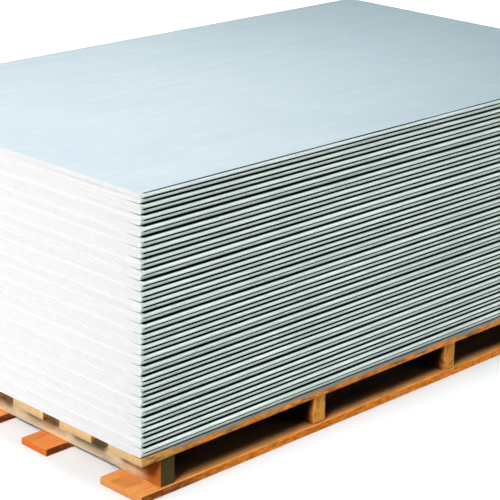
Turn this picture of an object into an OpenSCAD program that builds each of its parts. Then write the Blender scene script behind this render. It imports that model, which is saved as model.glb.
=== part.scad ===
// Pallet of drywall sheets: fifty plasterboards stacked in pairs on a sawn-timber pallet.
// Millimetres, +Z up, +X along the sheets, origin under the middle of the pallet on the floor.

/* [Sheet] */
// Length of a sheet, between its two cut ends
sheet_length = 2000; // [1400:10:3000]
// Width of a sheet, over its two paper-wrapped long edges
sheet_width = 1200; // [900:10:1250]
// Thickness of a sheet away from its tapered edges
sheet_thickness = 12.5; // [12:0.5:18]
// Width of the shallow taper along each long edge of the face
taper_width = 50; // [30:1:70]
// Drop of the face at the outer end of the taper
taper_depth = 2; // [0.6:0.1:2.2]
// Radius of the half-round long edge on the face side
face_edge_radius = 6; // [1:0.1:7]
// Radius of the long edge on the back side
back_edge_radius = 1.8; // [0.5:0.1:2.5]

/* [Stack] */
// Number of pairs of sheets, each pair laid back to back
pair_count = 25; // [1:1:40]
// Air left between neighbouring sheets, and under the lowest one
sheet_gap = 0.3; // [0.2:0.05:1]
// Largest sideways shift of a sheet in the stack
stagger = 1; // [0:0.1:3]

/* [Pallet deck] */
// Thickness of a deck board
deck_thickness = 22; // [16:1:30]
// Width of a deck board
deck_width = 120; // [80:1:125]
// Number of deck boards across the pallet
deck_count = 7; // [5:1:7]

/* [Pallet bearers] */
// Width of a bearer, which stands on edge across the pallet
bearer_width = 46; // [35:1:80]
// Height of a bearer, and so of the fork pockets
bearer_height = 75; // [60:1:110]
// Distance from each end of the pallet to the middle of its end bearer
bearer_inset = 88; // [50:1:150]
// Distance that the bearers' ends stay back from the long edges of the deck
bearer_setback = 6; // [0:1:30]

/* [Pallet runners] */
// Thickness of a runner, the boards that lie on the floor
runner_thickness = 20; // [14:1:28]
// Width of the two runners under the long edges
edge_runner_width = 150; // [100:1:160]
// Width of the runners between them
inner_runner_width = 100; // [70:1:120]
// Clear space between the front runner and the first inner one
front_runner_gap = 200; // [100:1:220]

/* [Timber] */
// Width of the eased corners along every board and bearer
eased_corner = 1.5; // [0.5:0.1:3]

/* [Hidden] */
sheets_per_pair = 2;
sheet_pitch = sheet_thickness + sheet_gap;
pair_pitch = sheets_per_pair * sheet_pitch;
// Golden angle, which spreads the shifts of neighbouring sheets evenly
shift_angle = 137.5;
cross_shift_angle = 100;
arc_steps = 5;

bearer_floor = runner_thickness;
deck_floor = bearer_floor + bearer_height;
pallet_height = deck_floor + deck_thickness;
stack_floor = pallet_height + sheet_gap;

left_end = -sheet_length / 2;
front_edge = -sheet_width / 2;
deck_gap = (sheet_width - deck_count * deck_width) / (deck_count - 1);
deck_pitch = deck_width + deck_gap;

// Three full bays between bearers, then half a bay that closes the right end
bearer_steps = [0, 1, 2, 3, 3.5];
bearer_pitch = (sheet_length - 2 * bearer_inset) / max(bearer_steps);
bearer_length = sheet_width - 2 * bearer_setback;

// The inner runners behind the first one share the rest of the width evenly
later_runner_count = 2;
first_inner_runner = edge_runner_width + front_runner_gap;
later_runner_span = sheet_width - edge_runner_width - first_inner_runner - inner_runner_width;
later_runner_gap = (later_runner_span - later_runner_count * inner_runner_width) / (later_runner_count + 1);
later_runner_pitch = inner_runner_width + later_runner_gap;
inner_runner_places = [for (k = [0 : later_runner_count]) first_inner_runner + k * later_runner_pitch];
back_runner = sheet_width - edge_runner_width;
runner_places = concat([0], inner_runner_places, [back_runner]);
runner_count = len(runner_places);

paper_colour = [0.86, 0.89, 0.89];
deck_colour = [0.87, 0.62, 0.36];
bearer_colour = [0.78, 0.58, 0.32];
runner_colour = [0.86, 0.55, 0.29];

function pair_name(k) = str("sheet_pair_", k < 10 ? "0" : "", k);
function deck_name(k) = str("deck_board_", k);
function bearer_name(k) = str("bearer_", k);
function runner_name(k) = str("runner_", k);
function is_edge_runner(k) = k == 1 || k == runner_count;

function arc(centre, radius, start, end) =
    [for (i = [0 : arc_steps])
        let (angle = start + (end - start) * i / arc_steps)
        centre + radius * [cos(angle), sin(angle)]];

// One wrapped edge from the back up to the flat of the face, at the left of the section
function edge_outline() =
    let (shoulder = sheet_thickness - taper_depth)
    concat(
        arc([back_edge_radius, back_edge_radius], back_edge_radius, 270, 180),
        arc([face_edge_radius, shoulder - face_edge_radius], face_edge_radius, 180, 90),
        [[taper_width, sheet_thickness]]
    );

function across(points) =
    [for (i = [len(points) - 1 : -1 : 0]) [sheet_width - points[i][0], points[i][1]]];

// Section of a sheet with its back on the floor and its tapered face up
module sheet_section() {
    left = edge_outline();
    polygon(concat(left, across(left)));
}

// Turns a section drawn in X and Y so that it runs along +X, with its own X across and Y up
module along_length(length) {
    rotate([90, 0, 90])
        linear_extrude(height = length)
            children();
}

module sheet_face_up() {
    translate([left_end, front_edge, 0])
        along_length(sheet_length)
            sheet_section();
}

module sheet_face_down() {
    translate([0, 0, sheet_thickness])
        mirror([0, 0, 1])
            sheet_face_up();
}

// Places sheet number k, counted up from the deck, with its small shift in the stack
module in_stack(k) {
    shift_x = stagger * sin(shift_angle * k);
    shift_y = stagger * sin(shift_angle * k + cross_shift_angle);
    translate([shift_x, shift_y, stack_floor + k * sheet_pitch])
        children();
}

// Two sheets back to back, so that their tapered faces meet those of the next pairs
module sheet_pair(k) {
    lower = (k - 1) * sheets_per_pair;
    color(paper_colour) {
        in_stack(lower) sheet_face_down();
        in_stack(lower + 1) sheet_face_up();
    }
}

module timber_section(width, height) {
    e = eased_corner;
    polygon([
        [e, 0], [width - e, 0], [width, e], [width, height - e],
        [width - e, height], [e, height], [0, height - e], [0, e]
    ]);
}

module deck_board(k) {
    color(deck_colour)
        translate([left_end, front_edge + (k - 1) * deck_pitch, deck_floor])
            along_length(sheet_length)
                timber_section(deck_width, deck_thickness);
}

module bearer(k) {
    middle = left_end + bearer_inset + bearer_steps[k - 1] * bearer_pitch;
    color(bearer_colour)
        translate([middle - bearer_width / 2, front_edge + bearer_setback + bearer_length, bearer_floor])
            rotate([90, 0, 0])
                linear_extrude(height = bearer_length)
                    timber_section(bearer_width, bearer_height);
}

module runner(k) {
    width = is_edge_runner(k) ? edge_runner_width : inner_runner_width;
    color(runner_colour)
        translate([left_end, front_edge + runner_places[k - 1], 0])
            along_length(sheet_length)
                timber_section(width, runner_thickness);
}

for (k = [1 : pair_count])
    sheet_pair(k);
for (k = [1 : deck_count])
    deck_board(k);
for (k = [1 : len(bearer_steps)])
    bearer(k);
for (k = [1 : runner_count])
    runner(k);
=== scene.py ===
import math
import random

import bmesh
import bpy
from mathutils import Matrix, Vector


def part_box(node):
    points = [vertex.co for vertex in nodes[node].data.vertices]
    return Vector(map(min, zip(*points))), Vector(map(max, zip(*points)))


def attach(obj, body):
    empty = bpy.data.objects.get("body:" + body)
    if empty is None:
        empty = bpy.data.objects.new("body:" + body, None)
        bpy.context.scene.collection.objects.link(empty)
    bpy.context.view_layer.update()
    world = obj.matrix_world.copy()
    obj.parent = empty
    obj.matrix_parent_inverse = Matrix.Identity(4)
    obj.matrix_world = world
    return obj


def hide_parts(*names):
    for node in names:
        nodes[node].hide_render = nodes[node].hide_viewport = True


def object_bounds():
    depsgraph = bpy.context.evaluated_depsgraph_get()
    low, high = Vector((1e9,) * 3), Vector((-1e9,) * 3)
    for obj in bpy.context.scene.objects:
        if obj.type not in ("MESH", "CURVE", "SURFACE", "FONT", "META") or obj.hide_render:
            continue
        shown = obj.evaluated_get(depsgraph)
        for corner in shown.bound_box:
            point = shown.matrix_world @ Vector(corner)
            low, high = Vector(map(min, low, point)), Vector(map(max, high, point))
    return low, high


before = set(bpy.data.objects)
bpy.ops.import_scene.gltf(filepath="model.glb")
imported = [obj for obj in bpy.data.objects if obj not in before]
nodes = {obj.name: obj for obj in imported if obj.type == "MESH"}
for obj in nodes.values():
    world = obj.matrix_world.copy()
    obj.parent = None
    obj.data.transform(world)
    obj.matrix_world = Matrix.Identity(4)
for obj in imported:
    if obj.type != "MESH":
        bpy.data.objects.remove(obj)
cad_low, cad_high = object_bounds()


# Runners
# The boards that lie on the floor and carry the bearers. Each is one length of rough-sawn softwood,
# cut square at its ends, with corners that are only eased by handling.

ALONG_X = 0
ALONG_Y = 1
straight_share = 0.999
runner_count = 5
runner_seed = 1.0
board_corner = 0.0015
corner_steps = 2
corner_turn = math.radians(60)
board_smooth_turn = math.radians(35)
grain_cell = 0.025
cross_cell = 0.012
saw_wave_length = 0.11
saw_wave_depth = 0.0016
torn_fibre_length = 0.018
torn_fibre_depth = 0.0005


def paint(red, green, blue):
    """A colour given as on a screen, 0 to 255, in the linear form that shaders take."""
    shares = [channel / 255 for channel in (red, green, blue)]
    linear = [s / 12.92 if s <= 0.04045 else ((s + 0.055) / 1.055) ** 2.4 for s in shares]
    return (*linear, 1.0)


def add_block(name, low, high):
    """A cube that fills the box between two corners, with its place in its mesh."""
    bpy.ops.object.select_all(action="DESELECT")
    bpy.ops.mesh.primitive_cube_add(size=1.0)
    block = bpy.context.active_object
    block.name = name
    block.data.name = name
    block.scale = high - low
    block.location = (low + high) / 2
    bpy.ops.object.transform_apply(location=True, rotation=True, scale=True)
    return block


def pick(piece, kind, test):
    """Selects in edit mode the vertices, edges or faces that pass a test, and nothing else."""
    bpy.ops.mesh.select_mode(type=kind)
    bpy.ops.mesh.select_all(action="DESELECT")
    mesh = bmesh.from_edit_mesh(piece.data)
    elements = {"VERT": mesh.verts, "EDGE": mesh.edges, "FACE": mesh.faces}[kind]
    for element in elements:
        element.select_set(test(element))
    mesh.select_flush_mode()
    bmesh.update_edit_mesh(piece.data)


def runs_along(edge, axis):
    span = edge.verts[1].co - edge.verts[0].co
    return abs(span[axis]) > straight_share * span.length


def is_corner(edge):
    return len(edge.link_faces) == 2 and edge.calc_face_angle() > corner_turn


def cloud_texture(name, patch):
    """Soft lumps about as wide as patch, for pressing into a mesh."""
    texture = bpy.data.textures.new(name, "CLOUDS")
    texture.noise_scale = patch
    texture.noise_depth = 2
    return texture


def press_in(piece, texture, depth):
    """Pushes the surface inwards by up to depth, never outwards, so the piece keeps its box."""
    press = piece.modifiers.new(texture.name, "DISPLACE")
    press.texture = texture
    press.texture_coords = "GLOBAL"
    press.mid_level = 1.0
    press.strength = depth
    bpy.context.view_layer.objects.active = piece
    bpy.ops.object.modifier_apply(modifier=press.name)


def mark_points(piece, label, value):
    """Writes one number on every point of a piece, for its material to read."""
    marks = piece.data.attributes.new(label, "FLOAT", "POINT")
    marks.data.foreach_set("value", [value] * len(piece.data.vertices))


saw_waves = cloud_texture("saw_waves", saw_wave_length)
torn_fibres = cloud_texture("torn_fibres", torn_fibre_length)


def sawn_timber(name, node, grain, seed):
    """A gridded block in the place of a CAD board, with eased corners and an uneven sawn surface."""
    low, high = (Vector(corner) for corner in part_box(node))
    timber = add_block(name, low, high)
    bpy.ops.object.mode_set(mode="EDIT")
    for axis in range(3):
        cell = grain_cell if axis == grain else cross_cell
        cuts = max(1, round((high[axis] - low[axis]) / cell) - 1)
        pick(timber, "EDGE", lambda edge: runs_along(edge, axis))
        bpy.ops.mesh.subdivide(number_cuts=cuts)
    pick(timber, "EDGE", is_corner)
    bpy.ops.mesh.bevel(offset=board_corner, segments=corner_steps, affect="EDGES")
    bpy.ops.object.mode_set(mode="OBJECT")
    press_in(timber, saw_waves, saw_wave_depth)
    press_in(timber, torn_fibres, torn_fibre_depth)
    bpy.ops.object.shade_smooth_by_angle(angle=board_smooth_turn)
    mark_points(timber, "board_seed", seed)
    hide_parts(node)
    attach(timber, "root")
    return timber


def add_node(tree, kind, **settings):
    node = tree.nodes.new(kind)
    for name, value in settings.items():
        setattr(node, name, value)
    return node


def feed(tree, socket, value):
    """Sets a socket to a plain value, or links another node's output to it."""
    if isinstance(value, bpy.types.NodeSocket):
        tree.links.new(value, socket)
    else:
        socket.default_value = value


def coordinate(tree, kind):
    """A point's place on its own object, its direction there or its direction in the sky."""
    return add_node(tree, "ShaderNodeTexCoord").outputs[kind]


def axes_of(tree, vector):
    """The X, Y and Z of a vector."""
    node = add_node(tree, "ShaderNodeSeparateXYZ")
    feed(tree, node.inputs[0], vector)
    return node.outputs


def calc(tree, operation, first, second=0.0, clamp=False):
    node = add_node(tree, "ShaderNodeMath", operation=operation, use_clamp=clamp)
    feed(tree, node.inputs[0], first)
    feed(tree, node.inputs[1], second)
    return node.outputs[0]


def stretch(tree, vector, scale):
    """A position with each of its axes scaled, so that a pattern on it runs long one way."""
    node = add_node(tree, "ShaderNodeVectorMath", operation="MULTIPLY")
    feed(tree, node.inputs[0], vector)
    feed(tree, node.inputs[1], scale)
    return node.outputs[0]


def noise(tree, vector, scale, detail=2.0, roughness=0.5):
    node = add_node(tree, "ShaderNodeTexNoise")
    feed(tree, node.inputs["Vector"], vector)
    feed(tree, node.inputs["Scale"], scale)
    feed(tree, node.inputs["Detail"], detail)
    feed(tree, node.inputs["Roughness"], roughness)
    return node.outputs[0]


def long_noise(tree, place, run, detail, roughness=0.5):
    """Noise that changes as often in a metre as run says, along each axis."""
    return noise(tree, stretch(tree, place, run), 1.0, detail, roughness)


def spot_distance(tree, vector, scale):
    """How far a point lies from the nearest of many scattered spots."""
    node = add_node(tree, "ShaderNodeTexVoronoi")
    feed(tree, node.inputs["Vector"], vector)
    feed(tree, node.inputs["Scale"], scale)
    return node.outputs["Distance"]


def ramp(tree, value, low, high, start=0.0, end=1.0):
    """Value carried from the range low to high onto start to end, held at both ends."""
    node = add_node(tree, "ShaderNodeMapRange")
    feed(tree, node.inputs["Value"], value)
    feed(tree, node.inputs["From Min"], low)
    feed(tree, node.inputs["From Max"], high)
    feed(tree, node.inputs["To Min"], start)
    feed(tree, node.inputs["To Max"], end)
    return node.outputs[0]


def tint(tree, factor, first, second, blend="MIX"):
    node = add_node(tree, "ShaderNodeMix", data_type="RGBA", blend_type=blend)
    feed(tree, node.inputs[0], factor)
    feed(tree, node.inputs[6], first)
    feed(tree, node.inputs[7], second)
    return node.outputs[2]


def new_finish(name):
    """A new material, with its node tree and its shader."""
    material = bpy.data.materials.new(name)
    material.use_nodes = True
    tree = material.node_tree
    return material, tree, tree.nodes["Principled BSDF"]


def add_relief(tree, shader, height, strength, depth):
    """Fine relief in the shader's normal, from a height that changes over the surface."""
    bump = add_node(tree, "ShaderNodeBump")
    feed(tree, bump.inputs["Strength"], strength)
    feed(tree, bump.inputs["Distance"], depth)
    feed(tree, bump.inputs["Height"], height)
    feed(tree, shader.inputs["Normal"], bump.outputs["Normal"])


def new_group(name, inputs, outputs):
    """An empty shader group with the named sockets, each given with its kind."""
    group = bpy.data.node_groups.new(name, "ShaderNodeTree")
    for label, kind in inputs:
        group.interface.new_socket(name=label, in_out="INPUT", socket_type=kind)
    for label, kind in outputs:
        group.interface.new_socket(name=label, in_out="OUTPUT", socket_type=kind)
    return group, group.nodes.new("NodeGroupInput"), group.nodes.new("NodeGroupOutput")


VECTOR = "NodeSocketVector"
VALUE = "NodeSocketFloat"

# Growth rings, fibres, knots and saw marks of one sawn board. Position has the grain along its X, and
# each Seed cuts the board from another place in the log.
log_step = 1.37
heart_turn_step = 2.1
heart_rise_step = 3.3
heart_aside = 0.07
heart_above = 0.05
across_grain = (0.0, 1.0, 1.0)
knot_run = (3.0, 6.0, 6.0)
knot_edge = (0.075, 0.045)
ring_bend_range = (0.35, 0.05)
ring_bend = 0.012
ring_wander_run = (1.1, 9.0, 9.0)
ring_wander = 0.07
late_wood_range = (0.35, 0.88)
ring_close_range = (1.0, 0.93)
fibre_run = (7.0, 420.0, 420.0)
saw_pitch = 700.0
saw_wander_scale = 14.0
saw_wander_reach = 22.0

sawn_grain, grain_in, grain_out = new_group(
    "sawn_grain",
    [("Position", VECTOR), ("Seed", VALUE), ("Ring Width", VALUE)],
    [("Ring", VALUE), ("Fibre", VALUE), ("Knot", VALUE), ("Saw", VALUE)],
)
log_seed = grain_in.outputs["Seed"]
heart = add_node(sawn_grain, "ShaderNodeCombineXYZ")
heart_turn = calc(sawn_grain, "SINE", calc(sawn_grain, "MULTIPLY", log_seed, heart_turn_step))
heart_rise = calc(sawn_grain, "COSINE", calc(sawn_grain, "MULTIPLY", log_seed, heart_rise_step))
feed(sawn_grain, heart.inputs[0], calc(sawn_grain, "MULTIPLY", log_seed, log_step))
feed(sawn_grain, heart.inputs[1], calc(sawn_grain, "MULTIPLY", heart_turn, heart_aside))
feed(sawn_grain, heart.inputs[2], calc(sawn_grain, "MULTIPLY", heart_rise, heart_above))
in_log = add_node(sawn_grain, "ShaderNodeVectorMath", operation="ADD")
feed(sawn_grain, in_log.inputs[0], grain_in.outputs["Position"])
feed(sawn_grain, in_log.inputs[1], heart.outputs[0])
log = in_log.outputs[0]

knot_distance = spot_distance(sawn_grain, stretch(sawn_grain, log, knot_run), 1.0)
knot_pull = ramp(sawn_grain, knot_distance, *ring_bend_range, 0.0, ring_bend)
feed(sawn_grain, grain_out.inputs["Knot"], ramp(sawn_grain, knot_distance, *knot_edge))

from_heart = add_node(sawn_grain, "ShaderNodeVectorMath", operation="LENGTH")
feed(sawn_grain, from_heart.inputs[0], stretch(sawn_grain, log, across_grain))
wander = long_noise(sawn_grain, log, ring_wander_run, 3.0)
drift = calc(sawn_grain, "MULTIPLY", calc(sawn_grain, "SUBTRACT", wander, 0.5), ring_wander)
radius = calc(sawn_grain, "ADD", calc(sawn_grain, "ADD", from_heart.outputs["Value"], drift), knot_pull)
ring_count = calc(sawn_grain, "DIVIDE", radius, grain_in.outputs["Ring Width"])
ring_step = calc(sawn_grain, "FRACT", ring_count)
late = ramp(sawn_grain, ring_step, *late_wood_range)
early = ramp(sawn_grain, ring_step, *ring_close_range)
feed(sawn_grain, grain_out.inputs["Ring"], calc(sawn_grain, "MULTIPLY", late, early))

feed(sawn_grain, grain_out.inputs["Fibre"], long_noise(sawn_grain, log, fibre_run, 3.0, 0.6))
saw_wander = noise(sawn_grain, log, saw_wander_scale, 1.0)
stroke = calc(sawn_grain, "ADD", calc(sawn_grain, "MULTIPLY", axes_of(sawn_grain, log)[0], saw_pitch),
              calc(sawn_grain, "MULTIPLY", saw_wander, saw_wander_reach))
feed(sawn_grain, grain_out.inputs["Saw"], calc(sawn_grain, "SINE", stroke))

# What all the pallet's timbers share. A run says how often a pattern changes in a metre, along the
# grain and across it, and a range says where in the pattern a mark starts and where it is full.
# Near black painted shade for the inside of the pallet
inner_painted_shade = paint(15, 11, 9)
weather_grey = paint(126, 112, 72)
# Grey for gypsum dust and painted shade at the top of the deck's sides
dust_and_shade_grey = paint(132, 138, 130)
speck_shade = paint(150, 138, 104)
ring_width = 0.011
ring_share = 0.3
patch_run = (3.5, 16.0, 16.0)
patch_range = (0.4, 0.7)
patch_share = 0.35
streak_run = (2.2, 75.0, 75.0)
streak_range = (0.48, 0.75)
streak_share = 0.5
board_tone_step = 0.618
board_tone_share = 0.3
face_turn_range = (0.4, 0.7)
speck_run = (40.0, 130.0, 130.0)
dark_speck_range = (0.5, 0.62)
pale_speck_range = (0.46, 0.36)
pale_speck_share = 0.6
raised_fibre_range = (0.56, 0.74)
raised_fibre_share = 0.45
blotch_run = (16.0, 60.0, 60.0)
blotch_range = (0.5, 0.64)
damp_run = (11.0, 40.0, 40.0)
damp_range = (0.5, 0.64)
dust_and_shade_ragged_range = (0.35, 0.65)
dust_and_shade_ragged_reach = 0.003
dust_and_shade_fade_below = 0.002
dust_and_shade_fade_above = 0.003
dust_and_shade_share = 0.9
near_cut_dust_and_shade_loss = 0.8
unshaded_end_range = (0.17, 0.10)
inner_shade_patch_range = (0.3, 0.7)
least_inner_shade = 0.93
smooth_fibre_range = (0.3, 0.8)
wood_roughness = (0.62, 0.88)
wood_specular = 0.1
saw_relief = 0.05
ring_relief = 0.35
wood_relief_strength = 0.5
wood_relief_depth = 0.0008


def softwood(
    name, grain, pale, dark, knot_brown, side_colour, side_end_colour, end_colour,
    blotching, speckling, side_stain, end_stain, weathering,
    near_cut_reach, unshaded_rim, inner_shade_reach, dust_and_shade_line=None,
):
    """Sawn softwood with its grain along X or Y, stained at sides and ends, with painted shade inside
    the pallet.

    The sides turn to side_end_colour within near_cut_reach of a cut end; on the runners that is painted
    shade. Painted shade starts unshaded_rim in from the pallet's long sides and is full
    inner_shade_reach further in. Gypsum dust and painted shade from the load lie above
    dust_and_shade_line.
    """
    material, tree, shader = new_finish(name)
    place = coordinate(tree, "Object")
    at = axes_of(tree, place)
    if grain == ALONG_Y:
        turned = add_node(tree, "ShaderNodeCombineXYZ")
        feed(tree, turned.inputs[0], at[1])
        feed(tree, turned.inputs[1], at[0])
        feed(tree, turned.inputs[2], at[2])
        place = turned.outputs[0]
    seed = add_node(tree, "ShaderNodeAttribute", attribute_name="board_seed").outputs["Fac"]
    figure = add_node(tree, "ShaderNodeGroup", node_tree=sawn_grain)
    feed(tree, figure.inputs["Position"], place)
    feed(tree, figure.inputs["Seed"], seed)
    feed(tree, figure.inputs["Ring Width"], ring_width)

    # Rings, patches and streaks of the clean wood, and a tone of its own on each board
    patch = long_noise(tree, place, patch_run, 3.0)
    streak = long_noise(tree, place, streak_run, 4.0, 0.6)
    darkness = calc(tree, "ADD", calc(tree, "MULTIPLY", figure.outputs["Ring"], ring_share),
                    ramp(tree, patch, *patch_range, 0.0, patch_share))
    streaks = ramp(tree, streak, *streak_range, 0.0, streak_share)
    darkness = calc(tree, "ADD", darkness, streaks, clamp=True)
    board_tone = calc(tree, "FRACT", calc(tree, "MULTIPLY", seed, board_tone_step))
    colour = tint(tree, darkness, pale, dark)
    colour = tint(tree, ramp(tree, board_tone, 0.0, 1.0, 0.0, board_tone_share), colour, dark)

    # Stained and specked sides, with another colour near the cut ends, which on the runners is painted
    # shade
    facing = axes_of(tree, coordinate(tree, "Normal"))
    from_end = calc(tree, "SUBTRACT", cad_high[0], calc(tree, "ABSOLUTE", at[0]))
    from_side = calc(tree, "SUBTRACT", cad_high[1], calc(tree, "ABSOLUTE", at[1]))
    from_cut = from_end if grain == ALONG_X else from_side
    near_cut = ramp(tree, from_cut, 2 * near_cut_reach, near_cut_reach)
    side_tone = tint(tree, near_cut, side_colour, side_end_colour)
    speck = long_noise(tree, place, speck_run, 3.0, 0.65)
    dark_speck = ramp(tree, speck, *dark_speck_range, 0.0, speckling)
    pale_speck = ramp(tree, speck, *pale_speck_range, 0.0, pale_speck_share * speckling)
    side_tone = tint(tree, dark_speck, side_tone, speck_shade, "MULTIPLY")
    side_tone = tint(tree, pale_speck, side_tone, pale)
    side_face = ramp(tree, calc(tree, "ABSOLUTE", facing[1 - grain]), *face_turn_range)
    colour = tint(tree, calc(tree, "MULTIPLY", side_face, side_stain), colour, side_tone)

    # Raised fibres, blotches, knots, weathered patches and stained ends, which on the deck are partly
    # painted light
    raised_fibre = ramp(tree, figure.outputs["Fibre"], *raised_fibre_range, 0.0, raised_fibre_share)
    colour = tint(tree, raised_fibre, colour, knot_brown)
    blotch = long_noise(tree, place, blotch_run, 3.0, 0.6)
    colour = tint(tree, ramp(tree, blotch, *blotch_range, 0.0, blotching), colour, knot_brown)
    colour = tint(tree, figure.outputs["Knot"], colour, knot_brown)
    damp = long_noise(tree, place, damp_run, 5.0, 0.65)
    colour = tint(tree, ramp(tree, damp, *damp_range, 0.0, weathering), colour, weather_grey)
    cut_end = ramp(tree, calc(tree, "ABSOLUTE", facing[grain]), *face_turn_range)
    colour = tint(tree, calc(tree, "MULTIPLY", cut_end, end_stain), colour, end_colour)

    # Gypsum dust from the load and painted shade under its lowest sheet, on the top of the sides; less
    # of it near the cut ends and none on the end faces
    if dust_and_shade_line:
        ragged = ramp(tree, blotch, *dust_and_shade_ragged_range, -dust_and_shade_ragged_reach, dust_and_shade_ragged_reach)
        dust_and_shade_edge = calc(tree, "ADD", at[2], ragged)
        dust_and_shade_range = (dust_and_shade_line - dust_and_shade_fade_below, dust_and_shade_line + dust_and_shade_fade_above)
        dust_and_shade = ramp(tree, dust_and_shade_edge, *dust_and_shade_range, 0.0, dust_and_shade_share)
        dust_and_shade_free = calc(tree, "MAXIMUM", cut_end, calc(tree, "MULTIPLY", near_cut, near_cut_dust_and_shade_loss))
        dust_and_shade = calc(tree, "MULTIPLY", dust_and_shade, calc(tree, "SUBTRACT", 1.0, dust_and_shade_free))
        colour = tint(tree, dust_and_shade, colour, dust_and_shade_grey)

    # Painted shade inside the pallet, near black, away from its sides and its ends, for the shade in
    # the bays
    outer = calc(tree, "MAXIMUM", ramp(tree, from_side, unshaded_rim + inner_shade_reach, unshaded_rim),
                 ramp(tree, from_end, *unshaded_end_range))
    inner = calc(tree, "SUBTRACT", 1.0, calc(tree, "POWER", outer, 2.0))
    inner_shade = calc(tree, "MULTIPLY", inner, ramp(tree, patch, *inner_shade_patch_range, least_inner_shade, 1.0))
    colour = tint(tree, inner_shade, colour, inner_painted_shade)

    feed(tree, shader.inputs["Base Color"], colour)
    feed(tree, shader.inputs["Roughness"],
         ramp(tree, figure.outputs["Fibre"], *smooth_fibre_range, *wood_roughness))
    feed(tree, shader.inputs["Specular IOR Level"], wood_specular)
    height = calc(tree, "ADD", figure.outputs["Fibre"],
                  calc(tree, "MULTIPLY", figure.outputs["Saw"], saw_relief))
    height = calc(tree, "SUBTRACT", height, calc(tree, "MULTIPLY", figure.outputs["Ring"], ring_relief))
    add_relief(tree, shader, height, wood_relief_strength, wood_relief_depth)
    return material


# Painted shade: the runners' sides turn dark red-brown near their cut ends
runner_pine = softwood(
    "runner_pine", ALONG_X,
    pale=paint(246, 178, 100), dark=paint(228, 132, 58), knot_brown=paint(150, 76, 30),
    side_colour=paint(226, 122, 2), side_end_colour=paint(122, 42, 4), end_colour=paint(240, 160, 92),
    blotching=0.25, speckling=0.7, side_stain=0.9, end_stain=0.7, weathering=0.15,
    near_cut_reach=0.12, unshaded_rim=0.004, inner_shade_reach=0.042,
)
# The inner runners, in the stack's shade, take a copy with darker tops and sides: painted shade
shaded_runner_pine = softwood(
    "shaded_runner_pine", ALONG_X,
    pale=paint(246, 164, 90), dark=paint(222, 118, 48), knot_brown=paint(140, 64, 22),
    side_colour=paint(206, 100, 4), side_end_colour=paint(112, 36, 4), end_colour=paint(232, 112, 34),
    blotching=0.25, speckling=0.7, side_stain=0.9, end_stain=0.7, weathering=0.1,
    near_cut_reach=0.12, unshaded_rim=0.004, inner_shade_reach=0.042,
)
edge_runners = (1, runner_count)
for number in range(1, runner_count + 1):
    runner = sawn_timber(f"runner_board_{number}", f"runner_{number}", ALONG_X, runner_seed + number)
    runner.data.materials.append(runner_pine if number in edge_runners else shaded_runner_pine)


# Bearers
# Timbers on edge across the pallet, between the runners and the deck. Their end grain shows on both
# long sides, and the bays between them take a lift truck's forks. The first one at the left is dark
# olive with painted shade, and its sides are pale cream with painted light.

bearer_count = 5
bearer_seed = 11.0
shade_and_light_painted_bearer = 1

bearer_pine = softwood(
    "bearer_pine", ALONG_Y,
    pale=paint(232, 166, 72), dark=paint(180, 104, 32), knot_brown=paint(92, 48, 16),
    side_colour=paint(178, 84, 6), side_end_colour=paint(206, 96, 12), end_colour=paint(216, 150, 62),
    blotching=0.75, speckling=0.4, side_stain=0.5, end_stain=0.2, weathering=0.3,
    near_cut_reach=0.05, unshaded_rim=0.009, inner_shade_reach=0.020,
)
# Painted shade: dark olive wood and ends. Painted light: pale cream sides
shade_and_light_painted_pine = softwood(
    "shade_and_light_painted_pine", ALONG_Y,
    pale=paint(84, 70, 36), dark=paint(54, 44, 18), knot_brown=paint(36, 28, 12),
    side_colour=paint(246, 222, 182), side_end_colour=paint(196, 112, 44), end_colour=paint(62, 50, 22),
    blotching=0.3, speckling=0.0, side_stain=0.85, end_stain=0.4, weathering=0.1,
    near_cut_reach=0.05, unshaded_rim=0.009, inner_shade_reach=0.020,
)
for number in range(1, bearer_count + 1):
    bearer = sawn_timber(f"bearer_timber_{number}", f"bearer_{number}", ALONG_Y, bearer_seed + number)
    bearer.data.materials.append(shade_and_light_painted_pine if number == shade_and_light_painted_bearer else bearer_pine)


# Deck boards
# Seven lengthwise boards nailed down on the bearers, with open gaps between them. The stack lies on
# them, so only their outer edges and their ends are seen.

deck_count = 7
deck_seed = 21.0
deck_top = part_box("deck_board_1")[1][2]
# Band at the top of the deck's sides with gypsum dust and painted shade under the stack's lowest sheet
dust_and_shade_band = 0.008

# The deck's cream cut ends are pale end grain with painted light
deck_pine = softwood(
    "deck_pine", ALONG_X,
    pale=paint(250, 174, 76), dark=paint(208, 106, 18), knot_brown=paint(92, 44, 12),
    side_colour=paint(236, 134, 24), side_end_colour=paint(206, 170, 98),
    end_colour=paint(240, 206, 152),
    blotching=0.85, speckling=0.7, side_stain=0.6, end_stain=0.75, weathering=0.7,
    near_cut_reach=0.07, unshaded_rim=0.004, inner_shade_reach=0.030, dust_and_shade_line=deck_top - dust_and_shade_band,
)
for number in range(1, deck_count + 1):
    plank = sawn_timber(f"deck_plank_{number}", f"deck_board_{number}", ALONG_X, deck_seed + number)
    plank.data.materials.append(deck_pine)


# Drywall sheets
# Gypsum cast between two liner papers. The face paper is folded round both long edges, which are
# tapered on the face, and the two ends are sawn, so the white core shows there between its papers.
# The sheets lie loose in pairs, back to back, and two sheets that meet face to face leave a groove.

taper_width = 0.050
taper_depth = 0.002
face_edge_radius = 0.006
face_edge_steps = 8
back_edge_radius = 0.0018
back_edge_steps = 4
paper_thickness = 0.0005
core_recess = 0.0002
saw_step = 0.00005
sheet_wave_length = 0.4
sheet_wave_depth = 0.00025
sheet_smooth_turn = math.radians(30)
sheet_cuts = 40
width_lines = 12
touch = 1e-5
end_facing = 0.9
groove_line = 0.002
shade_free_end = 0.012
EDGE_SLOT = 1
CORE_SLOT = 2
tone_seed = 7

pair_names = sorted(name for name in nodes if name.startswith("sheet_pair_"))


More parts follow.
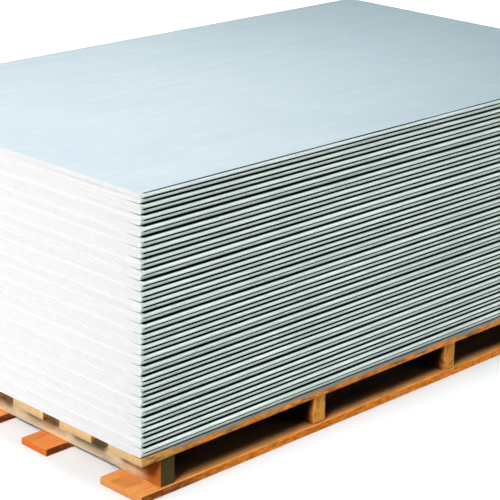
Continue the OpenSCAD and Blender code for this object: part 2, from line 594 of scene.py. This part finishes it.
def corners_of(points):
    low = Vector([min(p[i] for p in points) for i in range(3)])
    high = Vector([max(p[i] for p in points) for i in range(3)])
    return low, high


def sheets_of(node):
    """The boxes of the lower and the upper sheet of a pair, read from the CAD node."""
    cad = nodes[node]
    points = [cad.matrix_world @ vertex.co for vertex in cad.data.vertices]
    low, high = corners_of(points)
    middle = (low.z + high.z) / 2
    lower = [p for p in points if p.z < middle]
    upper = [p for p in points if p.z > middle]
    return corners_of(lower), corners_of(upper)


def cut_across(place, normal):
    """Cuts a line round the whole sheet, where a plane through place crosses it."""
    bpy.ops.mesh.select_all(action="SELECT")
    bpy.ops.mesh.bisect(plane_co=place, plane_no=normal)


def model_sheet():
    """One sheet, face up, about the origin: taper, wrapped edges, and papers round a recessed core."""
    low, high = sheets_of(pair_names[0])[1]
    half = (high - low) / 2
    inner_half = half.y - taper_width
    sheet = add_block("pattern_sheet", -half, half)
    bpy.ops.object.mode_set(mode="EDIT")
    for side in (-1, 1):
        cut_across((0, side * inner_half, 0), (0, 1, 0))
    pick(sheet, "VERT", lambda v: abs(v.co.y) > half.y - touch and v.co.z > 0)
    bpy.ops.transform.translate(value=(0, 0, -taper_depth))
    long_edges = ((1, face_edge_radius, face_edge_steps), (-1, back_edge_radius, back_edge_steps))
    for face_side, radius, steps in long_edges:
        pick(sheet, "EDGE", lambda e: runs_along(e, ALONG_X) and all(
            abs(v.co.y) > half.y - touch and v.co.z * face_side > 0 for v in e.verts))
        bpy.ops.mesh.bevel(offset=radius, segments=steps, affect="EDGES")
    cut_lines = [(line / width_lines - 0.5) * 2 * inner_half for line in range(1, width_lines)]
    cut_lines += [side * (half.y - face_edge_radius - groove_line) for side in (-1, 1)]
    for across in cut_lines:
        cut_across((0, across, 0), (0, 1, 0))
    pick(sheet, "EDGE", lambda e: runs_along(e, ALONG_X))
    bpy.ops.mesh.subdivide(number_cuts=sheet_cuts)
    for side in (-1, 1):
        cut_across((side * (half.x - shade_free_end), 0, 0), (1, 0, 0))
    pick(sheet, "FACE", lambda f: abs(f.normal.x) > end_facing)
    bpy.ops.mesh.inset(thickness=paper_thickness)
    bpy.ops.mesh.inset(thickness=saw_step, depth=-core_recess)
    bpy.ops.object.mode_set(mode="OBJECT")
    bpy.ops.object.shade_smooth_by_angle(angle=sheet_smooth_turn)
    for face in sheet.data.polygons:
        if abs(face.normal.x) > end_facing:
            face.material_index = CORE_SLOT
        elif abs(face.center.y) > half.y - face_edge_radius - touch:
            face.material_index = EDGE_SLOT
    return sheet


# Painted shade in the stack: the faces' wide grooves are painted near black towards the inside, and the
# backs' thin joints at once
quarter_turn = math.pi / 2
thin_joint_start = 0.62
thin_joint_gain = 1.5
inner_face_share = 1.0
inner_back_share = 1.2


def groove_share(point, half, covered):
    """How far a point lies in a groove of the stack, from 0 in the open to 1 or more inside, for the
    painted groove shade.
    """
    inset = half.y - abs(point.y)
    if abs(point.x) > half.x - shade_free_end + touch:
        return 0.0
    face_bend = half.z - taper_depth - face_edge_radius
    back_bend = back_edge_radius - half.z
    if inset < face_edge_radius + touch and point.z > face_bend:
        return math.atan2(point.z - face_bend, face_edge_radius - inset) / quarter_turn
    if inset < back_edge_radius + touch and point.z < back_bend + touch:
        turn = math.atan2(back_bend - point.z, back_edge_radius - inset) / quarter_turn
        return thin_joint_start + thin_joint_gain * turn
    if not covered or inset < face_edge_radius or inset > taper_width - touch:
        return 0.0
    return inner_face_share if point.z > 0 else inner_back_share


def mark_grooves(sheet, covered):
    """Writes on a sheet at the origin how deep each of its points lies in a groove, for the painted
    groove shade.
    """
    half = Vector([max(vertex.co[i] for vertex in sheet.data.vertices) for i in range(3)])
    marks = sheet.data.attributes.new("groove", "FLOAT", "POINT")
    marks.data.foreach_set("value", [groove_share(v.co, half, covered) for v in sheet.data.vertices])


# Mottling, machine-direction streaks, flecks and fibres of a liner paper made from waste paper
mottle_scale = 5.0
paper_streak_run = (1.6, 55.0, 55.0)
fleck_run = (110.0, 190.0, 190.0)
fleck_edge = (0.16, 0.08)
scuff_run = (11.0, 34.0, 34.0)
scuff_range = (0.55, 0.72)
paper_fibre_run = (380.0, 900.0, 900.0)

liner_fibre, liner_in, liner_out = new_group(
    "liner_fibre",
    [("Position", VECTOR)],
    [("Mottle", VALUE), ("Streak", VALUE), ("Fleck", VALUE), ("Scuff", VALUE), ("Fibre", VALUE)],
)
paper_place = liner_in.outputs["Position"]
fleck_distance = spot_distance(liner_fibre, stretch(liner_fibre, paper_place, fleck_run), 1.0)
rubbed = long_noise(liner_fibre, paper_place, scuff_run, 5.0, 0.62)
paper_streak = long_noise(liner_fibre, paper_place, paper_streak_run, 3.0, 0.6)
paper_fibre = long_noise(liner_fibre, paper_place, paper_fibre_run, 3.0, 0.65)
feed(liner_fibre, liner_out.inputs["Mottle"], noise(liner_fibre, paper_place, mottle_scale, 4.0, 0.55))
feed(liner_fibre, liner_out.inputs["Streak"], paper_streak)
feed(liner_fibre, liner_out.inputs["Fleck"], ramp(liner_fibre, fleck_distance, *fleck_edge))
feed(liner_fibre, liner_out.inputs["Scuff"], ramp(liner_fibre, rubbed, *scuff_range))
feed(liner_fibre, liner_out.inputs["Fibre"], paper_fibre)

# Near black painted shade for the grooves and thin joints between the sheets
groove_painted_shade = paint(8, 10, 9)
scuff_colour = paint(234, 240, 243)
pulp_range = (0.3, 0.7)
mottle_share = 0.5
paper_streak_share = 0.5
fleck_share = 0.16
scuff_share = 0.4
groove_shade_ragged = 0.1
groove_shade_range = (0.52, 0.72)
paper_roughness = (0.5, 0.7)
paper_specular = 0.05
paper_relief_strength = 0.35
paper_relief_depth = 0.0002


def liner_paper(name, light, dark, fleck_colour, tone_reach):
    """Matt liner paper: two close tones, mottled and streaked, with a tone of its own on each sheet,
    and near black painted shade in the stack's grooves.
    """
    material, tree, shader = new_finish(name)
    figure = add_node(tree, "ShaderNodeGroup", node_tree=liner_fibre)
    feed(tree, figure.inputs["Position"], coordinate(tree, "Object"))
    tone = add_node(tree, "ShaderNodeAttribute", attribute_name="sheet_tone").outputs["Fac"]
    streak = figure.outputs["Streak"]
    shade = calc(tree, "ADD", ramp(tree, figure.outputs["Mottle"], *pulp_range, 0.0, mottle_share),
                 ramp(tree, streak, *pulp_range, 0.0, paper_streak_share))
    shade = calc(tree, "ADD", shade, calc(tree, "MULTIPLY", tone, tone_reach), clamp=True)
    colour = tint(tree, shade, light, dark)
    fleck = calc(tree, "MULTIPLY", figure.outputs["Fleck"], fleck_share)
    colour = tint(tree, fleck, colour, fleck_colour)
    scuff = calc(tree, "MULTIPLY", figure.outputs["Scuff"], scuff_share)
    colour = tint(tree, scuff, colour, scuff_colour)
    # Painted shade deep in the stack's grooves and joints
    groove = add_node(tree, "ShaderNodeAttribute", attribute_name="groove").outputs["Fac"]
    ragged = calc(tree, "ADD", groove, ramp(tree, streak, *pulp_range, -groove_shade_ragged, groove_shade_ragged))
    colour = tint(tree, ramp(tree, ragged, *groove_shade_range), colour, groove_painted_shade)
    feed(tree, shader.inputs["Base Color"], colour)
    feed(tree, shader.inputs["Roughness"],
         ramp(tree, figure.outputs["Fibre"], *pulp_range, *paper_roughness))
    feed(tree, shader.inputs["Specular IOR Level"], paper_specular)
    add_relief(tree, shader, figure.outputs["Fibre"], paper_relief_strength, paper_relief_depth)
    return material


core_white = paint(247, 247, 246)
powder_white = paint(243, 243, 242)
bubble_shade = paint(206, 205, 200)
bubble_scale = 620.0
bubble_edge = (0.26, 0.12)
bubble_share = 0.2
powder_scale = 36.0
powder_range = (0.35, 0.7)
core_roughness = 0.9
core_specular = 0.2
core_relief_strength = 0.25
core_relief_depth = 0.0006


def gypsum():
    """Sawn gypsum: nearly white, with fine air bubbles cut open and a dusting of its own powder."""
    material, tree, shader = new_finish("gypsum_core")
    place = coordinate(tree, "Object")
    bubble = ramp(tree, spot_distance(tree, place, bubble_scale), *bubble_edge)
    powder = noise(tree, place, powder_scale, 4.0, 0.6)
    colour = tint(tree, ramp(tree, powder, *powder_range), core_white, powder_white)
    colour = tint(tree, calc(tree, "MULTIPLY", bubble, bubble_share), colour, bubble_shade)
    feed(tree, shader.inputs["Base Color"], colour)
    feed(tree, shader.inputs["Roughness"], core_roughness)
    feed(tree, shader.inputs["Specular IOR Level"], core_specular)
    height = calc(tree, "SUBTRACT", powder, bubble)
    add_relief(tree, shader, height, core_relief_strength, core_relief_depth)
    return material


face_paper = liner_paper(
    "face_paper", light=paint(223, 230, 236), dark=paint(213, 221, 228),
    fleck_colour=paint(160, 168, 174), tone_reach=0.15,
)
edge_paper = liner_paper(
    "edge_paper", light=paint(225, 236, 230), dark=paint(204, 217, 210),
    fleck_colour=paint(140, 150, 146), tone_reach=0.5,
)
gypsum_core = gypsum()
sheet_waves = cloud_texture("sheet_waves", sheet_wave_length)
tones = random.Random(tone_seed)

pattern = model_sheet()
for finish in (face_paper, edge_paper, gypsum_core):
    pattern.data.materials.append(finish)


def lay_sheet(corners, face_up, covered):
    """A copy of the sheet in its place in the stack, with small waves and a tone of its own."""
    low, high = corners
    bpy.ops.object.select_all(action="DESELECT")
    sheet = pattern.copy()
    sheet.data = pattern.data.copy()
    bpy.context.collection.objects.link(sheet)
    mark_grooves(sheet, covered)
    sheet.select_set(True)
    bpy.context.view_layer.objects.active = sheet
    sheet.rotation_euler.x = 0.0 if face_up else math.pi
    sheet.location = (low + high) / 2
    bpy.ops.object.transform_apply(location=True, rotation=True, scale=True)
    press_in(sheet, sheet_waves, sheet_wave_depth)
    mark_points(sheet, "sheet_tone", tones.random())
    return sheet


for name in pair_names:
    lower_box, upper_box = sheets_of(name)
    lower_sheet = lay_sheet(lower_box, face_up=False, covered=True)
    upper_sheet = lay_sheet(upper_box, face_up=True, covered=name != pair_names[-1])
    lower_sheet.select_set(True)
    bpy.context.view_layer.objects.active = upper_sheet
    bpy.ops.object.join()
    upper_sheet.name = name.replace("sheet_pair", "drywall_pair")
    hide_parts(name)
    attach(upper_sheet, "root")
bpy.data.objects.remove(pattern)


# Studio
# A pale floor, white to the camera away from the pallet, under a cool sky. A narrow key lamp stands
# high at the left end, soft lamps behind and at the front right, and the camera at the photo's angle.

floor_size = 80.0
floor_roughness = 0.9
floor_bounce = (0.08, 0.08, 0.08, 1.0)
floor_white = (0.93, 0.93, 0.93, 1.0)
glow_white = (1.0, 1.0, 1.0, 1.0)
glow_reach = 0.35
glow_level = 0.85
sky_tint = (0.5, 0.97, 1.0, 1.0)
sky_white = (1.0, 1.0, 1.0, 1.0)
sky_range = (0.08, 0.75)
sky_level = 0.385


def seen_share(tree):
    """1 where a backdrop is seen, also in a gloss or through glass, and 0 for the light it gives."""
    rays = add_node(tree, "ShaderNodeLightPath")
    seen = calc(tree, "MAXIMUM", rays.outputs["Is Camera Ray"], rays.outputs["Is Glossy Ray"])
    return calc(tree, "MAXIMUM", seen, rays.outputs["Is Transmission Ray"])


bpy.ops.object.select_all(action="DESELECT")
bpy.ops.mesh.primitive_plane_add(size=floor_size)
floor = bpy.context.active_object
floor.name = "studio_floor"
floor_paint, floor_tree, floor_shader = new_finish("floor_paint")
floor_shader.inputs["Roughness"].default_value = floor_roughness
floor_shader.inputs["Emission Color"].default_value = glow_white
floor_place = axes_of(floor_tree, coordinate(floor_tree, "Object"))
beside = []
for axis in (0, 1):
    from_middle = calc(floor_tree, "ABSOLUTE", floor_place[axis])
    outward = calc(floor_tree, "SUBTRACT", from_middle, cad_high[axis])
    beside.append(calc(floor_tree, "POWER", calc(floor_tree, "MAXIMUM", outward, 0.0), 2.0))
away = calc(floor_tree, "SQRT", calc(floor_tree, "ADD", beside[0], beside[1]))
glow = ramp(floor_tree, away, 0.0, glow_reach, 0.0, glow_level)
floor_seen = seen_share(floor_tree)
floor_glow = calc(floor_tree, "MULTIPLY", glow, floor_seen)
floor_tone = tint(floor_tree, floor_seen, floor_bounce, floor_white)
feed(floor_tree, floor_shader.inputs["Emission Strength"], floor_glow)
feed(floor_tree, floor_shader.inputs["Base Color"], floor_tone)
floor.data.materials.append(floor_paint)

world = bpy.data.worlds.new("studio_air")
bpy.context.scene.world = world
world.use_nodes = True
air = world.node_tree
sky = air.nodes["Background"]
sky_seen = seen_share(air)
feed(air, sky.inputs["Color"], tint(air, sky_seen, sky_tint, sky_white))
overhead = ramp(air, axes_of(air, coordinate(air, "Generated"))[2], *sky_range, 0.0, sky_level)
feed(air, sky.inputs["Strength"], calc(air, "MAXIMUM", overhead, sky_seen))


def soft_lamp(name, place, aim, size, power, colour, beam=180.0):
    """A square soft lamp at place that faces aim."""
    bpy.ops.object.light_add(type="AREA", location=place)
    lamp = bpy.context.active_object
    lamp.name = name
    lamp.data.shape = "SQUARE"
    lamp.data.size = size
    lamp.data.energy = power
    lamp.data.color = colour
    lamp.data.spread = math.radians(beam)
    lamp.rotation_euler = (Vector(aim) - Vector(place)).to_track_quat("-Z", "Y").to_euler()
    return lamp


soft_lamp(
    "key_lamp", place=(-5.7, -2.0, 4.8), aim=(-1.0, 0.05, 0.55),
    size=2.6, power=29.2, colour=(1.0, 0.93, 0.94), beam=22.0,
)
back_lamp = soft_lamp(
    "back_lamp", place=(4.2, 5.6, 0.5), aim=(0.3, 0.4, 0.4),
    size=1.0, power=400.0, colour=(1.0, 0.98, 0.98),
)
back_lamp.visible_glossy = False
soft_lamp(
    "front_lamp", place=(2.6, -5.0, 1.1), aim=(0.6, -0.6, 0.4),
    size=1.8, power=140.0, colour=(1.0, 0.98, 0.98),
)

camera_place = Vector((-3.4951, -3.4071, 1.9250))
camera_aim = Vector((-0.4298, -0.3735, 0.4370))
camera_roll = math.radians(1.083)
film_width = 36.0
lens_length = 129.5
bpy.ops.object.camera_add()
camera = bpy.context.active_object
camera.name = "photo_camera"
camera.data.sensor_width = film_width
camera.data.lens = lens_length
turn = (camera_aim - camera_place).to_track_quat("-Z", "Y").to_matrix().to_4x4()
camera.matrix_world = Matrix.Translation(camera_place) @ turn @ Matrix.Rotation(camera_roll, 4, "Z")
bpy.context.scene.camera = camera
bpy.context.scene.view_settings.view_transform = "Standard"
